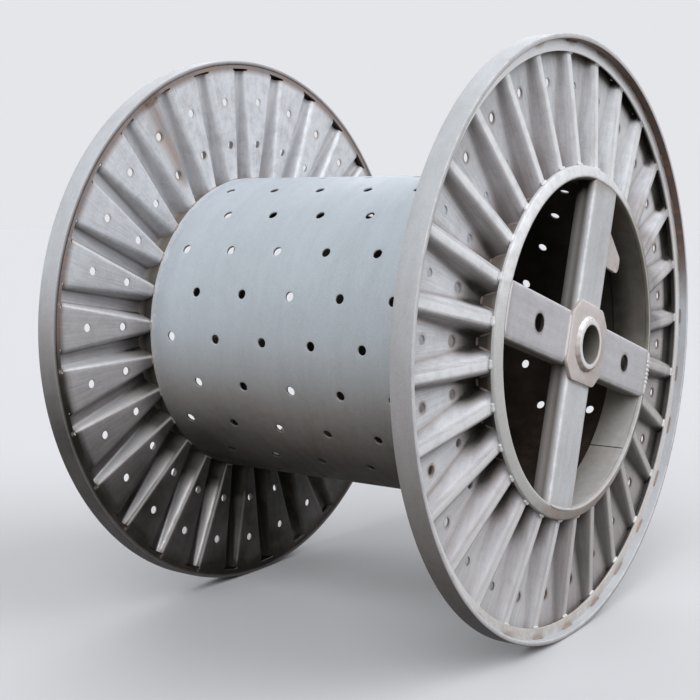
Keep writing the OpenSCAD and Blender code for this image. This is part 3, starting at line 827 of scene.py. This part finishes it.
def lug_stain(x, y, z, behind):
    """Evenly rusty, a little more along its weld."""
    return 0.18 + 0.2 * fade(x, CHANNEL_HALF + 14.0, CHANNEL_HALF + 1.0), 0.03, 0.0


drum_piece("strut_lug", lug_grids(), hub_steel, lug_stain, ["side_lug"])


# Welds: short stitches between rim ring and rim bar, one at each rib; tacks at both ends of every rib;
# fillets where lands and rib walls meet the collar, where lands meet the barrel, and round the bush; and
# beads at the hub plate and the ends of the cross, the coarsest on the arm at the back.
def bead(path, out, side, width, height, steps, waves, swell=0.12):
    """A weld bead along paths (any number, places, 3): round each place the closed loop
    path + width/2 cos(b) side + height sin(b) out, swelling in waves and closing at its ends."""
    u = np.linspace(0.0, 1.0, path.shape[-2])
    closing = np.sqrt(np.clip(1.0 - np.abs(2 * u - 1) ** 6, 0.0, 1.0))
    size = closing * (1 + swell * np.sin(2 * np.pi * waves * u))
    b = np.linspace(0.0, 2 * np.pi, steps + 1)
    across = (width / 2 * size)[:, None, None] * np.cos(b)[None, :, None]
    over = (height * size)[:, None, None] * np.sin(b)[None, :, None]
    return path[..., :, None, :] + across * side[..., :, None, :] + over * out[..., :, None, :]


def toward(a, radial, axial):
    """Unit direction at angle a made of a radial and an axial part."""
    return polar(radial, a, axial) / math.hypot(radial, axial)


def ring_bead(end, a, r, z, opens, width, height, steps, waves, faces=1):
    """Beads along angles a in the corner at radius r and height z. opens is 1 where the corner opens away
    from the axis and -1 towards it; faces is 1 where it faces out of the drum's end and -1 the cable."""
    axial = faces * end
    return bead(polar(r, a, end * z), toward(a, opens, axial), toward(a, 1.0, -opens * axial),
                width, height, steps, waves)


def even(rust, soot, worn):
    """A stain that is the same all over."""
    return lambda x, y, z, behind: (rust, soot, worn)


def bush_fillet_stain(x, y, z, behind):
    """Lighter at the top as a painted highlight, darker at the bottom as painted shade, and rusty at the
    bottom.
    """
    r, high, _ = around(x, y)
    # Wear at the top is a painted highlight and soot at the bottom painted shade.
    return 0.28 - 0.004 * r * high, 0.14 - 0.002 * r * high, 0.3 + 0.006 * r * high


def rib_wall_beads(end, at):
    """Fillets up both walls of every rib, where they meet the collar: at each height the half width of the
    rib's section, on its drafted wall or on the round of its crest, as an angle beside the rib."""
    height = np.linspace(LAND_TOP + 5.0, LIP_LOW - 1.5, 8)[None, :]
    deep = crest(COLLAR_R) - height
    drafted = RIB_ROUND * math.cos(RIB_DRAFT) + (deep - ROUND_DROP) * math.tan(RIB_DRAFT)
    rounded = np.sqrt(RIB_ROUND ** 2 - np.clip(RIB_ROUND - deep, 0.0, RIB_ROUND) ** 2)
    half = RIB_FLAT + np.where(deep > ROUND_DROP, drafted, rounded) + 0.5
    r, beads = COLLAR_R + 0.6, []
    for way in (1, -1):
        a = at + np.arctan2(way * half, r)
        side = polar(1.0, a + np.pi / 2, 0.0)
        beads.append(bead(polar(r, a, end * height), toward(a, 1.0, 0.0), side, 6.0, 2.2, 5, 3.0))
    return beads


def bush_bead(end):
    """One uneven fillet round the bush: a flattened loop of radius 7.6 swell(a) carried round the circle."""
    a = np.linspace(0.0, 2 * np.pi, 97)[None, :]
    b = np.linspace(0.0, 2 * np.pi, 7)[:, None]
    swell = 1 + 0.10 * np.sin(19 * a[0]) + 0.06 * np.sin(7 * a[0] + 1.0)
    loop = (np.cos(b) * toward(a, 1.0, -end)[..., None, :]
            + 0.75 * np.sin(b) * toward(a, 1.0, end)[..., None, :])
    return polar(BUSH_R + 0.5, a, end * (HUB_FACE + 0.4))[..., None, :] + (7.6 * swell)[:, None, None] * loop


def cross_beads(end):
    """Beads on the four arms: along the hub plate's edge, and where each arm's web meets the collar."""
    arms = np.array([0.0, 0.5, 1.0, 1.5])[:, None] * np.pi
    s = np.linspace(-1.0, 1.0, 22)[None, :]
    along = np.stack([np.cos(arms), np.sin(arms), 0 * arms], -1)
    across = np.stack([-np.sin(arms), np.cos(arms), 0 * arms], -1)
    out = np.broadcast_to(along, (4, 22, 3))
    up = np.broadcast_to([0.0, 0.0, float(end)], (4, 22, 3))
    lift = np.array([0.0, 0.0, end * (MOUTH_Z + 0.3)])
    plate_edge = along * (HUB_HALF + 0.5) + across * (s * 45.0)[..., None] + lift
    plate = bead(plate_edge, (out + up) / math.sqrt(2), (out - up) / math.sqrt(2), 8.0, 2.8, 6, 8.0)
    edge_y = s * 50.0
    arm_end = along * channel_reach(edge_y)[..., None] + across * edge_y[..., None] + lift
    coarse = bead(arm_end[:1], up[:1], out[:1], 10.5, 3.4, 6, 11.0, 0.35)
    smooth = bead(arm_end[1:], up[1:], out[1:], 6.0, 1.4, 6, 5.0, 0.06)
    return [plate, coarse, smooth]


weld_rusty = steel_finish("weld_rusty", (0.46, 0.42, 0.40), (0.32, 0.27, 0.255), (20.0, 20.0, 20.0), 0.7)
weld_clean = steel_finish("weld_clean", (0.62, 0.62, 0.635), (0.49, 0.48, 0.48), (20.0, 20.0, 20.0), 0.7)
for end, side in ENDS:
    at = RIB_TURN[end] + np.arange(RIBS)[:, None] * RIB_STEP
    land = at + RIB_STEP / 2
    wobble = np.random.default_rng(21 + end).normal(0.0, 1.0, (RIBS, 4))[:, :, None]
    s = np.linspace(-1.0, 1.0, 13)[None, :]
    a = at + (wobble[:, 0] * 2.0 + s * (22.0 + wobble[:, 1] * 2.0)) / (SHEET_R - 2.0)
    stitches = ring_bead(end, a, SHEET_R - 1.4, RING_TOP + 0.6, -1.0, 6.6, 2.4, 6, 5.0)
    drum_piece("rim_stitches_" + side, [stitches], weld_rusty, even(0.55, 0.08, 0.0))
    s = np.linspace(-1.0, 1.0, 8)[None, :]
    a = at + (wobble[:, 2] * 1.2 + s * 11.0) / RING_R
    tips = ring_bead(end, a, RING_R - 0.4, RING_LOW + 1.0, -1.0, 7.0, 2.6, 5, 2.0)
    a = at + (wobble[:, 3] * 1.5 + s * 10.0) / LIP_R
    lip_tacks = ring_bead(end, a, LIP_R + 1.5, LIP_LOW + 2.0, 1.0, 8.0, 3.4, 5, 2.0)
    drum_piece("rib_tacks_" + side, [tips, lip_tacks], weld_clean, even(0.10, 0.0, 0.4))
    s = np.linspace(-1.0, 1.0, 7)[None, :]
    a = land + s * 9.0 / COLLAR_R
    collar_fillet = ring_bead(end, a, COLLAR_R + 0.8, LAND_TOP + 0.6, 1.0, 6.0, 2.2, 5, 2.0)
    a = land + s * 10.0 / BARREL_R
    barrel_fillet = ring_bead(end, a, BARREL_R + 0.6, LAND_Z - 0.6, 1.0, 6.0, 2.4, 5, 2.0, faces=-1)
    drum_piece("sheet_fillets_" + side, [collar_fillet, barrel_fillet] + rib_wall_beads(end, at), weld_rusty,
               even(0.28, 0.15, 0.2))
    drum_piece("bush_fillet_" + side, [bush_bead(end)], hub_steel, bush_fillet_stain)
    drum_piece("cross_welds_" + side, cross_beads(end), weld_clean, even(0.2, 0.02, 0.35))


# Ground, light and camera: a pale plain floor that shows the drum's shadow, an open sky that is brighter to
# the right, three broad soft lamps from the right, the front and the back, and the camera of the picture.
# Rays that light the drum see a darker floor and the sky; the camera and mirrored rays see the pale ground.
PALE = (0.783, 0.791, 0.823)
FLOOR_SEEN, FLOOR_LIT = (0.605, 0.612, 0.637, 1.0), (0.085, 0.072, 0.050, 1.0)
FLOOR_HALF, FLOOR_CELLS, FLOOR_UP = 40.0, 8, -0.0005
SKY_LIT, SKY_RIGHT = (0.985, 1.0, 1.02, 1.0), (0.944, 0.0, 0.330)
# Each lamp's name, strength, tilt from straight down and turn, in degrees
LAMPS = (("soft_right", 1.6, 52.4, 108.4), ("soft_front", 2.2, 50.0, 15.0), ("soft_back", 1.1, 60.0, 220.0))
LAMP_SPREAD = math.radians(50.0)


def seen_directly(tree):
    """1 for rays from the camera, and for rays mirrored or passed on to it; 0 for rays that light a surface."""
    path = add_node(tree, "ShaderNodeLightPath").outputs
    direct = sum_of(tree, "MAXIMUM", path["Is Camera Ray"], path["Is Glossy Ray"])
    return sum_of(tree, "MAXIMUM", direct, path["Is Transmission Ray"])


reach = np.linspace(-FLOOR_HALF, FLOOR_HALF, FLOOR_CELLS + 1)
spots = np.stack(np.broadcast_arrays(reach[None, :], reach[:, None], FLOOR_UP), -1).reshape(-1, 3)
one = np.arange(len(spots)).reshape(FLOOR_CELLS + 1, FLOOR_CELLS + 1)
floor_mesh = bpy.data.meshes.new("floor")
floor_mesh.from_pydata(spots, [], np.stack([one[:-1, :-1], one[:-1, 1:], one[1:, 1:], one[1:, :-1]],
                                           -1).reshape(-1, 4))
floor = bpy.data.objects.new("floor", floor_mesh)
bpy.context.scene.collection.objects.link(floor)
floor_look = bpy.data.materials.new("pale_floor")
floor_look.use_nodes = True
tree = floor_look.node_tree
tree.nodes.remove(tree.nodes["Principled BSDF"])
seen = add_node(tree, "ShaderNodeBsdfDiffuse", {"Color": FLOOR_SEEN}).outputs[0]
dark = add_node(tree, "ShaderNodeBsdfDiffuse", {"Color": FLOOR_LIT}).outputs[0]
both = add_node(tree, "ShaderNodeMixShader", {0: seen_directly(tree), 1: dark, 2: seen}).outputs[0]
tree.links.new(both, tree.nodes["Material Output"].inputs["Surface"])
floor_mesh.materials.append(floor_look)

sky = bpy.data.worlds.new("open_sky")
bpy.context.scene.world = sky
sky.use_nodes = True
tree = sky.node_tree
plain = tree.nodes["Background"]
plain.inputs["Color"].default_value = (*PALE, 1.0)
way = add_node(tree, "ShaderNodeTexCoord").outputs["Generated"]
up = add_node(tree, "ShaderNodeSeparateXYZ", {0: way}).outputs[2]
right = add_node(tree, "ShaderNodeVectorMath", {0: way, 1: SKY_RIGHT}, operation="DOT_PRODUCT").outputs["Value"]
level = sum_of(tree, "POWER", sum_of(tree, "MAXIMUM", right, 0.0), 2.0)
level = sum_of(tree, "ADD", sum_of(tree, "MULTIPLY", level, 0.5), 0.25)
level = sum_of(tree, "MULTIPLY", level, ramp(tree, up, -0.03, 0.05))
lit = add_node(tree, "ShaderNodeBackground", {"Color": SKY_LIT, "Strength": level}).outputs[0]
both = add_node(tree, "ShaderNodeMixShader", {0: seen_directly(tree), 1: lit, 2: plain.outputs[0]}).outputs[0]
tree.links.new(both, tree.nodes["World Output"].inputs["Surface"])

for name, energy, tilt, turn in LAMPS:
    lamp = bpy.data.lights.new(name, "SUN")
    lamp.energy = energy
    lamp.angle = LAMP_SPREAD
    lamp_at = bpy.data.objects.new(name, lamp)
    lamp_at.rotation_euler = (math.radians(tilt), 0.0, math.radians(turn))
    bpy.context.scene.collection.objects.link(lamp_at)

eye = bpy.data.cameras.new("photo_view")
eye.sensor_width = 36.0
eye.lens = 64.603
eye.shift_x = -0.10328
eye.shift_y = 0.02646
camera = bpy.data.objects.new("photo_view", eye)
camera.location = (1.59904, -2.35114, 0.90892)
camera.rotation_euler = (math.radians(82.6171), 0.0, math.radians(32.9234))
bpy.context.scene.collection.objects.link(camera)
bpy.context.scene.camera = camera
bpy.context.scene.view_settings.view_transform = "Standard"
